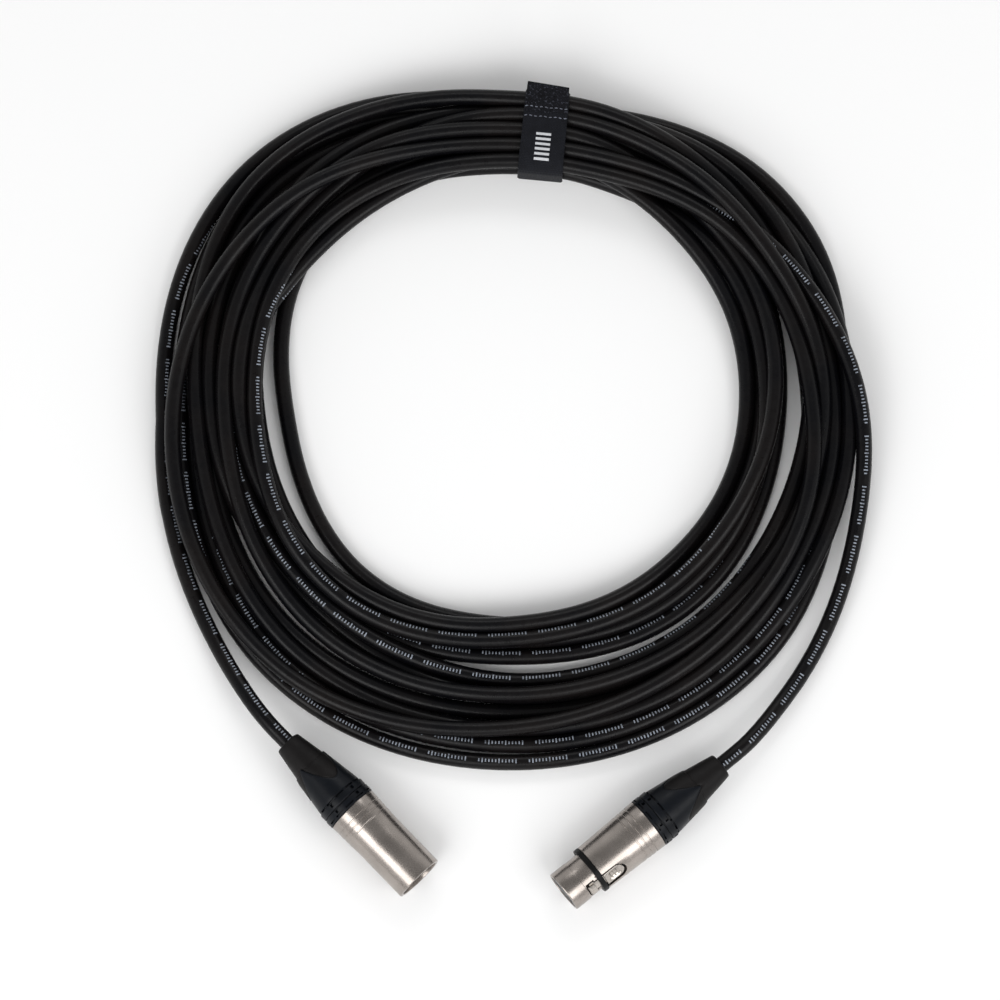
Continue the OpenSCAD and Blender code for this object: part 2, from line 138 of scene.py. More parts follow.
def smooth_through(t, values, q):
    """Values at q of a smooth curve that goes through values at t."""
    t, values, q = (np.asarray(a, float) for a in (t, values, q))
    flat = values.ndim == 1
    v = values[:, None] if flat else values
    m = np.empty_like(v)
    m[1:-1] = (v[2:] - v[:-2]) / (t[2:] - t[:-2])[:, None]
    m[0] = (v[1] - v[0]) / (t[1] - t[0])
    m[-1] = (v[-1] - v[-2]) / (t[-1] - t[-2])
    i = np.clip(np.searchsorted(t, q, side="right") - 1, 0, len(t) - 2)
    h = (t[i + 1] - t[i])[:, None]
    s = (q - t[i])[:, None] / h
    out = (
        (2 * s**3 - 3 * s**2 + 1) * v[i]
        + (s**3 - 2 * s**2 + s) * h * m[i]
        + (3 * s**2 - 2 * s**3) * v[i + 1]
        + (s**3 - s**2) * h * m[i + 1]
    )
    return out[:, 0] if flat else out


def ease(x):
    """From 0 to 1, with level ends."""
    x = np.clip(x, 0, 1)
    return x * x * (3 - 2 * x)


def spread(a, sigma):
    """Each column of a, blurred along the cable."""
    n = int(3 * sigma) + 1
    kernel = np.exp(-0.5 * (np.arange(-n, n + 1) / sigma) ** 2)
    kernel /= kernel.sum()
    padded = np.pad(a, ((n, n), (0, 0)), mode="edge")
    return np.stack([np.convolve(padded[:, c], kernel, "valid") for c in range(a.shape[1])], axis=1)


def tail_line(at, heading, straight, route):
    """From inside a boot, out of it and along the route, a millimetre apart."""
    angle = math.radians(heading)
    ahead = np.array([math.cos(angle), math.sin(angle), 0.0])
    mouth = np.array([at[0], at[1], AXIS_Z])
    start = [mouth + ahead * INSIDE_BOOT, mouth + ahead * INSIDE_BOOT / 2, mouth]
    points = np.array(start + [mouth - ahead * straight] + [np.array(p) for p in route])
    along = np.concatenate([[0], np.cumsum(np.linalg.norm(np.diff(points, axis=0), axis=1))])
    return smooth_through(along, points, np.arange(0, along[-1], 1.0))


def polar(line):
    """Angles round the coil's centre in degrees, and distances from it."""
    out = line[:, :2] - np.array(COIL_CENTRE)
    return np.degrees(np.unwrap(np.arctan2(out[:, 1], out[:, 0]))), np.hypot(out[:, 0], out[:, 1])


def pairs_side_by_side(count):
    """Every two points that lie at the same angle round the coil."""
    round_points = int(360 / STEP)
    column = np.arange(count) % round_points
    members = [np.nonzero(column == c)[0] for c in range(round_points)]
    table = np.full((round_points, max(map(len, members))), -1)
    for c, found in enumerate(members):
        table[c, : len(found)] = found
    first, second = np.triu_indices(table.shape[1], 1)
    a, b = table[:, first].ravel(), table[:, second].ravel()
    real = (a >= 0) & (b >= 0)
    return a[real], b[real]


def pushes_apart(rz, a, b, free):
    """How far each point has to move so that the turns no longer lie in each other."""
    away = rz[b] - rz[a]
    overlap = 2 * CABLE_R - np.sqrt((away**2).sum(1))
    hit = overlap > 0
    a, b, away = a[hit], b[hit], away[hit]
    # Where two turns cross, the later one goes over
    away[:, 1] += OVER * np.maximum(1 - np.abs(away[:, 0]) / CABLE_R, 0)
    way = away / (np.sqrt((away**2).sum(1)) + 1e-9)[:, None]
    share = overlap[hit] / np.maximum(free[a] + free[b], 1e-9)
    back, on = -(share * free[a])[:, None] * way, (share * free[b])[:, None] * way
    size = len(rz)
    push = np.stack(
        [np.bincount(a, back[:, c], size) + np.bincount(b, on[:, c], size) for c in (0, 1)], axis=1
    )
    count = np.bincount(a, minlength=size) + np.bincount(b, minlength=size)
    return push / np.sqrt(np.maximum(count, 1))[:, None]


def wound_cable():
    """The cable's centreline, in millimetres, from inside the male boot to inside the female one."""
    male = tail_line(MALE_AT, MALE_HEADING, MALE_STRAIGHT, MALE_ROUTE)
    female = tail_line(FEMALE_AT, FEMALE_HEADING, FEMALE_STRAIGHT, FEMALE_ROUTE)
    (male_angle, male_r), (female_angle, female_r) = polar(male), polar(female)
    turns = len(TURNS)
    # Winding grows clockwise, from 0 at the cable's first pass through the tie
    male_w = TIE_ANGLE - male_angle
    male_w -= 360 * math.ceil(male_w[-1] / 360)
    female_w = TIE_ANGLE - female_angle + 360 * turns

    # The plan: how far out each turn lies
    columns = np.interp([c[0] for c in TIE_CELLS], range(len(TIE_COLUMNS)), TIE_COLUMNS)
    layers = np.array([TIE_FLOOR + CABLE_R + TIE_LAYER * c[1] for c in TIE_CELLS])
    plan = [
        (male_w[-12], male_r[-12]), (male_w[-1], male_r[-1]),
        (TIE_ANGLE - FIRST_TAIL_OUT[0] - 360, FIRST_TAIL_OUT[1]),
    ]
    for k in range(turns + 1):
        plan.append((360 * k, columns[k]))
        if k < turns:
            plan += [(TIE_ANGLE - s + 360 * k, r) for s, r in zip(STATIONS, TURNS[k])]
    plan += [
        (TIE_ANGLE - LAST_TAIL_OUT[0] + 360 * turns, LAST_TAIL_OUT[1]),
        (female_w[-1], female_r[-1]), (female_w[-12], female_r[-12]),
    ]
    first = math.ceil(male_w[INSIDE_BOOT + MALE_STRAIGHT + TAKE_OVER] / STEP)
    last = math.floor(female_w[INSIDE_BOOT + FEMALE_STRAIGHT + TAKE_OVER] / STEP)
    w = np.arange(first, last + 1) * STEP
    home = smooth_through(*zip(*plan), w)
    on_male, on_female = w <= male_w[-1], w >= female_w[-1]
    by_m, by_f = np.argsort(male_w), np.argsort(female_w)
    for on, order, tail_w, tail_r in ((on_male, by_m, male_w, male_r), (on_female, by_f, female_w, female_r)):
        home[on] = np.interp(w[on], tail_w[order], tail_r[order])

    # Wound in the air, each turn above the one before
    top = CABLE_R + LIFT * turns
    z = CABLE_R + LIFT * np.clip(w / 360, 0, turns)
    z[on_male] = np.interp(w[on_male], male_w[by_m], male[by_m, 2])
    route_z = np.interp(w, female_w[by_f], female[by_f, 2])
    start, end = 360 * turns + 15, female_w[INSIDE_BOOT + FEMALE_KEPT]
    z = np.where(w > start, top + (route_z - top) * ease((w - start) / (end - start)), z)
    free = np.ones(len(w))
    free[on_male] = 1 - ease((male_w[INSIDE_BOOT + MALE_KEPT] - w[on_male]) / LOOSENING + 1)
    free[on_female] = 1 - ease((w[on_female] - end) / LOOSENING + 1)

    # In the tie, each pass goes to its own cell
    nearest = np.clip(np.round(w / 360), 0, turns).astype(int)
    held = ease(1 - (np.abs(w - 360 * nearest) - TIE_HOLD[0]) / TIE_HOLD[1]) * free
    cell = np.stack([columns[nearest], layers[nearest]], axis=1)

    rz = np.stack([home, z], axis=1)
    flat = np.stack([home, np.zeros(len(w))], axis=1)
    a, b = pairs_side_by_side(len(w))
    for i in range(SETTLING):
        done = i / SETTLING
        fall, pull, bend = FAST if done < SLOW_FROM else LAST if done > LAST_FROM else SLOW
        local = 0.3 if done < LAST_FROM else 0.0
        rz[:, 1] -= fall * free
        rz[:, 0] += pull * (home - rz[:, 0]) * free
        for _ in range(3):
            push = pushes_apart(rz, a, b, free)
            rz += (0.6 * spread(push, 3.0) + local * push) * free[:, None]
            sunk = np.maximum(CABLE_R - rz[:, 1], 0) * free
            rz[:, 1] += sunk if done < LAST_FROM else spread(sunk[:, None], 2.0)[:, 0] * free
            grip = (held * min(1.0, 0.02 + 1.3 * done))[:, None]
            rz += grip * (cell - rz)
        shape = rz - flat
        rz += 0.3 * (spread(shape, bend) - shape) * free[:, None]
    shape = rz - flat
    rz += (spread(shape, 2.0) - shape) * free[:, None]
    # The female tail takes up its route without a sharp bend
    to_end = np.arange(len(w))[::-1]
    joining = ease((JOINING[1] - to_end) / 12) * ease((to_end - JOINING[0]) / 4)
    rz += (spread(rz, 3.6) - rz) * joining[:, None]
    rz[:, 1] = np.maximum(rz[:, 1], CABLE_R)

    angle = np.radians(TIE_ANGLE - w)
    (x, y), (r, z) = COIL_CENTRE, rz.T
    coil = np.stack([x + r * np.cos(angle), y + r * np.sin(angle), z], axis=1)
    before = male[: int(np.searchsorted(male_w, w[0])) - 2 : 3]
    after = female[: int((female_w > w[-1]).sum()) - 2 : 3][::-1]
    return np.concatenate([before, coil, after])


# ---- Materials: made of nodes, with grain, wear and print in them ----

MATERIALS = {}

# The jacket's scale of ticks: their pitch and height, and how many pitches make a group
MARK_PITCH, MARK_HEIGHT, MARKS_IN_GROUP = 1.25, 1.7, 15.0
# The width of a thread of the tape, and the flap's bars: where they start, their pitch, width and number
THREAD = 0.55
BARS_FROM, BAR_PITCH, BAR_W, BAR_COUNT = 99.6, 1.9, 5.6, 6.0


def feed(tree, entry, value):
    """Puts a value, or another node's output, into a node's input."""
    if isinstance(value, bpy.types.NodeSocket):
        tree.links.new(value, entry)
    else:
        entry.default_value = value


def add_node(tree, kind, inputs=None, **settings):
    made = tree.nodes.new("ShaderNode" + kind)
    for key, value in settings.items():
        setattr(made, key, value)
    for key, value in (inputs or {}).items():
        feed(tree, made.inputs[key], value)
    return made


class Finish:
    """A Principled material with helpers for the nodes that feed it."""

    def __init__(self, name, colour, roughness, **sockets):
        self.material = bpy.data.materials.new(name)
        self.material.use_nodes = True
        self.tree = self.material.node_tree
        self.shader = self.tree.nodes["Principled BSDF"]
        self.shader.inputs["Base Color"].default_value = (*colour, 1)
        self.shader.inputs["Roughness"].default_value = roughness
        for key, value in sockets.items():
            self.shader.inputs[key.replace("_", " ")].default_value = value
        MATERIALS[name] = self.material

    def node(self, kind, inputs=None, **settings):
        return add_node(self.tree, kind, inputs, **settings)

    def math(self, operation, *values):
        return self.node("Math", dict(enumerate(values)), operation=operation).outputs[0]

    def above(self, a, b):
        return self.math("GREATER_THAN", a, b)

    def below(self, a, b):
        return self.math("LESS_THAN", a, b)

    def within(self, a, half):
        return self.below(self.math("ABSOLUTE", a), half)

    def times(self, first, *others):
        for other in others:
            first = self.math("MULTIPLY", first, other)
        return first

    def mix(self, factor, a, b):
        made = self.node("Mix", data_type="RGBA")
        for key, value in (("Factor", factor), ("A", a), ("B", b)):
            entry = [i for i in made.inputs if i.name == key and i.enabled][0]
            feed(self.tree, entry, (*value, 1) if isinstance(value, tuple) else value)
        return [o for o in made.outputs if o.enabled][0]

    def noise(self, scale, detail, stretch=(1, 1, 1)):
        """Noise in the piece's own coordinates, in metres, stretched."""
        own = self.node("TexCoord").outputs["Object"]
        where = self.node("Mapping", {"Vector": own, "Scale": stretch}).outputs[0]
        return self.node("TexNoise", {"Vector": where, "Scale": scale, "Detail": detail}).outputs["Fac"]

    def levels(self, value, low, high, to_low=0.0, to_high=1.0):
        inputs = {"Value": value, "From Min": low, "From Max": high, "To Min": to_low, "To Max": to_high}
        return self.node("MapRange", inputs).outputs[0]

    def colour_from(self, socket):
        feed(self.tree, self.shader.inputs["Base Color"], socket)

    def roughness_from(self, socket):
        feed(self.tree, self.shader.inputs["Roughness"], socket)

    def bump(self, height, depth):
        """Adds relief of that depth, in millimetres."""
        made = self.node("Bump", {"Height": height, "Distance": depth * MM, "Strength": 1.0})
        feed(self.tree, self.shader.inputs["Normal"], made.outputs[0])


def plastic(name, colour, roughness, grain=2200, depth=0.02, tint=0.5, **sockets):
    """Moulded plastic or rubber: spark-eroded grain, uneven gloss and slightly uneven colour."""
    f = Finish(name, colour, roughness, **sockets)
    patches = f.noise(90, 3)
    darker = tuple(c * (1 - tint * 0.6) for c in colour)
    lighter = tuple(c * (1 + tint) + 0.002 * tint for c in colour)
    f.colour_from(f.mix(f.levels(patches, 0.35, 0.65), darker, lighter))
    f.roughness_from(f.levels(f.noise(400, 4), 0.3, 0.7, roughness - 0.06, roughness + 0.08))
    f.bump(f.noise(grain, 3), depth)


def metal(name, colour, roughness, grain=2600, depth=0.006, stain=0.12, stretch=(1, 1, 1)):
    """Plated metal: tumbled grain, faint stains and gloss that varies over it."""
    f = Finish(name, colour, roughness, Metallic=1.0)
    stains = f.levels(f.noise(120, 4, stretch), 0.35, 0.7)
    darker = tuple(c * (1 - stain) for c in colour)
    f.colour_from(f.mix(stains, colour, darker))
    fine = f.noise(grain, 3, stretch)
    f.roughness_from(f.levels(fine, 0.3, 0.7, roughness - 0.07, roughness + 0.1))
    f.bump(fine, depth)


def jacket():
    """The cable's PVC jacket, with rows of small plain marks where such a cable carries its print."""
    f = Finish("jacket", (0.003, 0.003, 0.0035), 0.3, Specular_IOR_Level=0.17)
    patches = f.levels(f.noise(35, 3), 0.4, 0.65)
    plain = f.mix(patches, (0.0022, 0.0022, 0.003), (0.0058, 0.0047, 0.0047))
    f.roughness_from(f.levels(f.noise(500, 4), 0.3, 0.7, 0.24, 0.38))
    f.bump(f.noise(1300, 3), 0.025)
    names = ("cord_along", "cord_side", "cord_face")
    along, side, face = (f.node("Attribute", attribute_name=name).outputs["Fac"] for name in names)
    # A plain scale of ticks, the fifth ones long, in groups with spaces between them
    cells = f.math("DIVIDE", along, MARK_PITCH * MM)
    middle = f.math("ADD", f.math("FLOOR", cells), 0.5)
    fifth, group = (f.math("FRACT", f.math("DIVIDE", middle, count)) for count in (5.0, MARKS_IN_GROUP))
    half = f.levels(f.below(fifth, 0.2), 0, 1, MARK_HEIGHT / 3 * MM, MARK_HEIGHT / 2 * MM)
    shown = f.times(f.within(side, half), f.above(face, 0.3), f.below(group, 0.82))
    worn = f.levels(f.noise(900, 2), 0.3, 0.55, 0.35, 1.0)
    ink = f.times(f.below(f.math("FRACT", cells), 0.38), shown, worn)
    f.colour_from(f.mix(ink, plain, (0.28, 0.31, 0.36)))


def woven(name, colour, light, roughness, depth, marked=False, hooks=False):
    """Woven tape: crossing threads, from each piece's own measure along and across it."""
    f = Finish(name, colour, roughness, Specular_IOR_Level=0.14)
    where = f.node("Attribute", attribute_name="tape_place").outputs["Vector"]
    split = f.node("SeparateXYZ", {0: where})
    along, across = (f.math("DIVIDE", split.outputs[i], THREAD * MM) for i in (0, 1))
    warp, weft = (f.math("ABSOLUTE", f.math("SINE", f.times(v, math.pi))) for v in (along, across))
    turn = f.math("ADD", f.math("FLOOR", along), f.math("FLOOR", across))
    over = f.above(f.math("ABSOLUTE", f.math("MODULO", turn, 2.0)), 0.5)
    height = f.math("ADD", f.times(warp, over), f.times(weft, f.math("SUBTRACT", 1.0, over)))
    f.bump(f.math("ADD", height, f.times(f.noise(2500, 3), 0.5)), depth)
    # Painted highlight and shade on the weave: the threads' crowns are painted lighter and the hollows
    # between them darker, varied at random by noise.
    cloth = f.mix(f.levels(f.times(height, f.noise(300, 3)), 0.1, 0.6), colour, light)
    if hooks:
        # Loops and hooks that catch the light
        cloth = f.mix(f.levels(f.noise(1150, 1), 0.6, 0.68), cloth, (0.045, 0.048, 0.062))
    if marked:
        # A plain printed mark on the smooth part: a column of short bars
        row = f.math("DIVIDE", f.math("SUBTRACT", split.outputs[0], BARS_FROM * MM), BAR_PITCH * MM)
        bar = f.times(f.below(f.math("FRACT", row), 0.5), f.within(split.outputs[1], BAR_W / 2 * MM))
        ink = f.times(bar, f.above(row, 0.0), f.below(row, BAR_COUNT), f.above(split.outputs[2], 0.0))
        cloth = f.mix(ink, cloth, (0.62, 0.63, 0.66))
    f.colour_from(cloth)


jacket()
for cloth in ("strap_weave", "strap_marked"):
    woven(cloth, (0.003, 0.0034, 0.0055), (0.009, 0.01, 0.0145), 0.62, 0.12, marked=cloth == "strap_marked")
woven("hook_tape", (0.002, 0.002, 0.003), (0.012, 0.013, 0.018), 0.7, 0.35, hooks=True)
plastic("thread", (0.1, 0.11, 0.14), 0.75, 5000, 0.08, Sheen_Weight=0.3)
metal("nickel", (0.4, 0.36, 0.33), 0.26, 3600, 0.007, 0.2)
metal("latch_nickel", (0.5, 0.46, 0.42), 0.24, 3600, 0.005, 0.16)
plastic("insert_plastic", (0.012, 0.012, 0.012), 0.45, 1800, 0.02)
metal("contact_silver", (0.75, 0.73, 0.69), 0.22, 3000, 0.003, 0.1, (0.3, 1, 1))
metal("contact_gold", (0.8, 0.6, 0.3), 0.22, 3000, 0.003, 0.08)
plastic("chuck_plastic", (0.62, 0.62, 0.58), 0.45, 1500, 0.02, 0.06)
plastic("hard_plastic", (0.003, 0.004, 0.006), 0.36, 1700, 0.02, 0.3, Specular_IOR_Level=0.15)
plastic("boot_soft", (0.0045, 0.0038, 0.0038), 0.5, 1500, 0.03, 0.3, Specular_IOR_Level=0.16)
plastic("seal_rubber", (0.003, 0.003, 0.003), 0.45, 2000, 0.02, 0.3, Specular_IOR_Level=0.16)
metal("spring_steel", (0.55, 0.55, 0.55), 0.28, 2800, 0.004, 0.1, (0.3, 1, 1))
metal("lead_screen", (0.62, 0.45, 0.3), 0.35, 2400, 0.05, 0.3)
plastic("lead_white", (0.75, 0.75, 0.72), 0.4, 1500, 0.01, 0.04)
plastic("lead_blue", (0.03, 0.07, 0.35), 0.4, 1500, 0.01, 0.2)


# ---- Mesh helpers ----

SHARP = math.radians(32)


def put(name, data):
    """A new object in the scene."""
    obj = bpy.data.objects.new(name, data)
    bpy.context.scene.collection.objects.link(obj)
    return obj


def mesh_of(name, verts, faces):
    """A mesh from points in millimetres."""
    mesh = bpy.data.meshes.new(name)
    mesh.from_pydata([tuple(float(c) * MM for c in v) for v in verts], [], faces)
    return mesh


def mesh_piece(name, verts, faces, slot, replaced, body=None, frame_of=None):
    """A mesh object, given in millimetres, that rides on a body and stands for CAD nodes."""
    obj = put(name, mesh_of(name, verts, faces))
    if frame_of is not None:
        obj.matrix_world = frame_of
    finish_piece(obj, slot)
    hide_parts(*replaced)
    if body:
        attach(obj, body)
    return obj


def set_material(obj, slot):
    obj.data.materials.clear()
    obj.data.materials.append(MATERIALS[slot])


def finish_piece(obj, slot):
    """Clean faces, smooth shading between sharp edges, and the slot's material."""
    bm = bmesh.new()
    bm.from_mesh(obj.data)
    bmesh.ops.remove_doubles(bm, verts=bm.verts, dist=1e-7)
    bmesh.ops.dissolve_degenerate(bm, edges=bm.edges, dist=1e-8)
    bmesh.ops.recalc_face_normals(bm, faces=bm.faces)
    for face in bm.faces:
        face.smooth = True
    for edge in bm.edges:
        edge.smooth = edge.calc_face_angle(0) < SHARP
    bm.to_mesh(obj.data)
    bm.free()
    set_material(obj, slot)


def grid_faces(rows, columns, closed_rows=False, closed_columns=True):
    """Four-sided faces between neighbouring points of a grid, listed row by row."""
    faces = []
    for i in range(rows if closed_rows else rows - 1):
        here, ahead = i * columns, (i + 1) % rows * columns
        for j in range(columns if closed_columns else columns - 1):
            b = (j + 1) % columns
            faces.append((here + j, here + b, ahead + b, ahead + j))
    return faces


def end_faces(rows, columns):
    """The two faces that close a tube at its first and last row."""
    return [tuple(range(columns)), tuple((rows - 1) * columns + k for k in reversed(range(columns)))]


def tube_mesh(line, radius, sides):
    """Points and faces of a round tube along a line, with each point's angle from straight up."""
    line = np.asarray(line, float)
    way = np.gradient(line, axis=0)
    way /= np.linalg.norm(way, axis=1)[:, None]
    side = np.cross(way, [0, 0, 1.0])
    side /= np.linalg.norm(side, axis=1)[:, None]
    up = np.cross(side, way)
    angle = 2 * math.pi * np.arange(sides) / sides
    cos, sin = np.cos(angle)[None, :, None], np.sin(angle)[None, :, None]
    verts = line[:, None, :] + radius * cos * up[:, None, :] + radius * sin * side[:, None, :]
    return verts.reshape(-1, 3), grid_faces(len(line), sides) + end_faces(len(line), sides), angle


# ---- The cable ----

TUBE_SIDES = 16
# How far round from the top the print lies on each turn as it passes the lower left, at this part of a turn
PRINT_AT = (0.3, 2.8, 2.6, 2.9, 2.8, 0.25, 2.7, -0.1, 2.6, 2.9, 0.2, 2.6)
LOWER_LEFT = 0.62
# The same on the female tail: turn and angle
PRINT_ON_TAIL = ((12.0, 1.9), (12.08, 1.9), (12.13, -0.1), (12.2, -0.75), (12.33, -0.1))


def cable():
    """The cable as one tube, with its centreline and length."""
    line = wound_cable()
    along = np.concatenate([[0], np.cumsum(np.linalg.norm(np.diff(line, axis=0), axis=1))])
    verts, faces, angle = tube_mesh(line, CABLE_R, TUBE_SIDES)
    obj = mesh_piece(
        "cable", verts, faces, "jacket",
        ["cable_coil", "male_tail_cable", "female_tail_cable", "male_cable_end", "female_cable_end"], "cable",
    )
    turned = angle[None, :] - print_angle(line)[:, None]
    for name, value in (
        ("cord_along", np.repeat(along, TUBE_SIDES) * MM),
        ("cord_side", (np.sin(turned) * CABLE_R * MM).ravel()),
        ("cord_face", np.cos(turned).ravel()),
    ):
        obj.data.attributes.new(name, "FLOAT", "POINT").data.foreach_set("value", value.astype(np.float32))
    return obj, line, float(along[-1])


def print_angle(line):
    """How far round from the top the print lies, all along the cable, in radians."""
    angle, _ = polar(line)
    w = TIE_ANGLE - angle
    turn = w / 360 + (len(TURNS) - 1 - np.round(w[-1] / 360))
    places = [(k + LOWER_LEFT, at) for k, at in enumerate(PRINT_AT)] + list(PRINT_ON_TAIL)
    steady = np.interp(turn, *zip(*places))
    # Round the coil's far side it turns out of sight
    hidden = ease((np.cos(np.radians(angle - 62)) + 0.12) / 0.4) * (turn < len(TURNS) - 1)
    return steady + 0.25 * np.sin(w / 31.0) + 1.8 * hidden


# ---- Plugs: pieces turned round the plug's axis, with detail round them ----

PLUG_SIDES = 144
GAP_IN_PLUG = 0.1
# The boot: its sleeve's length, bore and outside, and how deep its tongues lie in the cone, and from where
BOOT_L, BOOT_BORE, SLEEVE_R = 12.4, 3.15, (4.9, 7.0)
SUNK, SUNK_OVER = 0.14, 0.16
CONE_END, BUSHING_END = 27.6, 31.1
RING_START, RING_END, SHELL_START = 31.2, 34.4, 34.5
CONE_BACK_R, CONE_FRONT_R, COLLAR_R = 7.5, 9.6, 10.15
THREAD_R, BUSHING_BORE = 8.5, 6.6
SPIGOT_END, THREAD_END = 40.0, 42.5
THREAD_PITCH, THREAD_DEPTH = 1.5, 0.35
SHELL_GROOVES, GROOVE_W = (38.2, 40.4, 42.6), 0.5
MALE_END, FEMALE_END = 70.2, 74.8
MATING_BORE, NOSE_R, NOSE_BORE = 8.15, 8.0, 7.0
NOSE_START = 60.6
KEYWAY = -46.0
# In the male socket, from and to along the plug: the key rib, and the pocket that the latch catches in
RIB, RIB_HALF, RIB_H = (56.675, 67.175), 0.5, 0.4
POCKET, POCKET_HALF, POCKET_DEPTH = (63.175, 65.775), 2.6, 0.7

# The boot's soft tongues reach forward between the bushing's points, three of each
TONGUE_AT, TONGUE_PERIOD = 24.0, 120.0
POINT_BACK, TONGUE_FRONT = 11.1, 22.2

# Round each collar: small square slots, and bridges across its groove, with half their widths in degrees
SLOT_AT, SLOT_HALF = tuple(-30.0 + 60 * k for k in range(6)), 4.0
BRIDGES, BRIDGE_HALF = tuple(15.0 + 30 * k for k in range(12)), 4.5

# The latch: its pad from back to front, its width and radius, its arm, and the room round it
LATCH_BACK, LATCH_PAD_END, LATCH_W, LATCH_PAD_R = 51.6, 60.1, 6.4, 8.95
ARM_HALF, HOOK_HALF = 1.8, 2.6
HOOK = ((64.8, 6.7), (67.4, 6.7), (67.4, 7.7), (66.6, 8.7), (64.8, 8.7))
LATCH_ROOM, LATCH_EASE = 0.4, 0.5


def plug_frame(at, heading, roll):
    """Where a plug lies: its boot's back end, and which way it points and is rolled."""
    turn = Matrix.Rotation(math.radians(heading), 4, "Z") @ Matrix.Rotation(math.radians(roll), 4, "X")
    return Matrix.Translation((at[0] * MM, at[1] * MM, AXIS_Z * MM)) @ turn


PLUGS = {
    "male": plug_frame(MALE_AT, MALE_HEADING, 0),
    "female": plug_frame(FEMALE_AT, FEMALE_HEADING, FEMALE_ROLL),
}


def rounded(corners, steps=3):
    """A profile of (x, r, fillet) corners, each eased by its fillet."""
    out = []
    count = len(corners)
    for i, (x, r, fillet) in enumerate(corners):
        here = np.array([x, r])
        before, after = (np.array(corners[(i + k) % count][:2]) for k in (-1, 1))
        if fillet <= 0:
            out.append(here)
            continue
        ends = []
        for other in (before, after):
            way = other - here
            far = np.linalg.norm(way)
            ends.append(here + way / far * min(fillet, far * 0.45))
        for k in range(steps + 1):
            t = k / steps
            out.append((1 - t) ** 2 * ends[0] + 2 * t * (1 - t) * here + t**2 * ends[1])
    return out


def angles(edges=()):
    """Angles round a piece in degrees from its top, with a close pair at each edge of a detail."""
    found = list(np.arange(PLUG_SIDES) * 360 / PLUG_SIDES)
    for edge in edges:
        found = [a for a in found if abs((a - edge + 180) % 360 - 180) > 1.0]
        found += [(edge - 0.25) % 360, (edge + 0.25) % 360]
    return np.array(sorted(found))


def round_grid(rows, at):
    """Verts of rows, each (x, r) or arrays of them, at these angles."""
    turn = np.radians(at)
    verts = []
    for x, r in rows:
        x, r = np.broadcast_to(x, turn.shape), np.broadcast_to(r, turn.shape)
        verts += list(zip(x, r * np.sin(turn), r * np.cos(turn)))
    return verts


def inside(at, centre, half):
    """1 where an angle is within half of centre, else 0."""
    return (np.abs((at - centre + 180) % 360 - 180) < half).astype(float)


def ring_piece(name, rows, at, slot, plug, body):
    """A piece turned round a plug's axis, from rows that go once round its section."""
    verts = round_grid(rows, at)
    faces = grid_faces(len(rows), len(at), closed_rows=True)
    return mesh_piece(name + "_look", verts, faces, slot, [name], body, PLUGS[plug])


def from_tongue(at):
    """0 in a tongue's middle, 1 half-way between two."""
    half = TONGUE_PERIOD / 2
    return np.abs((at - TONGUE_AT + half) % TONGUE_PERIOD - half) / half


def tongue_edge(at):
    """Where the soft tongues meet the hard points, along the plug, at each angle."""
    wave = np.sin(math.pi / 2 * (1 - from_tongue(at)))
    return POINT_BACK + (TONGUE_FRONT - POINT_BACK) * (0.62 * wave + 0.38 * wave**2)


def cone_r(x):
    """The bushing's radius along its cone."""
    return CONE_BACK_R + (x - BOOT_L) * (CONE_FRONT_R - CONE_BACK_R) / (CONE_END - BOOT_L)


def soft_r(x):
    """The soft boot's radius: a sleeve that steps up at its front to lie almost flush in the cone."""
    sleeve = SLEEVE_R[0] + x * (SLEEVE_R[1] - SLEEVE_R[0]) / BOOT_L
    return sleeve + (cone_r(x) - SUNK - sleeve) * ease((x - BOOT_L) / SUNK_OVER)


def boot_piece(plug):
    """The soft boot: a sleeve round the cable, with tongues that lie in the bushing's cone."""
    at = angles()
    edge = tongue_edge(at)
    rim = 0.45
    rows = [(0.0, BOOT_BORE), (0.0, 3.55), (0.12, 3.7), (0.0, 3.9), (0.0, 4.3), (0.12, 4.62), (rim, 4.92)]
    sleeve_end = np.minimum(edge, BOOT_L)
    tongue_start = np.minimum(edge, BOOT_L + SUNK_OVER)
    stations = [rim + u * (sleeve_end - rim) for u in np.linspace(0.1, 1, 10)]
    stations += [tongue_start + u * (edge - tongue_start) for u in np.linspace(0, 1, 14)]
    for x in stations:
        # A tongue is crowned between its sides and rounded off at its edge
        near = np.clip((edge - x) / 0.5, 0, 1)
        crown = 0.2 * ease((x - BOOT_L) / 2) * np.clip(1 - (from_tongue(at) / 0.75) ** 2, 0, 1)
        rows.append((x, soft_r(x) + crown - 0.3 * (1 - near) ** 2))
    rows += [(edge + 0.02, soft_r(edge) - 0.9), (BOOT_L + 0 * edge, 5.4), (BOOT_L + 0 * edge, BOOT_BORE)]
    return ring_piece(plug + "_boot", rows, at, "boot_soft", plug, plug + "_bushing")


def collar_details(at):
    """Masks round a collar: the bridges across its grooves, and its small square slots."""
    bridge = sum(inside(at, b, BRIDGE_HALF) for b in BRIDGES)
    square = sum(inside(at, c, SLOT_HALF) for c in SLOT_AT)
    return bridge, square


def collar_angles():
    """Angles round a collar, with a close pair at each side of a bridge or slot."""
    edges = [b + k * BRIDGE_HALF for b in BRIDGES for k in (-1, 1)]
    return angles(edges + [c + k * SLOT_HALF for c in SLOT_AT for k in (-1, 1)])


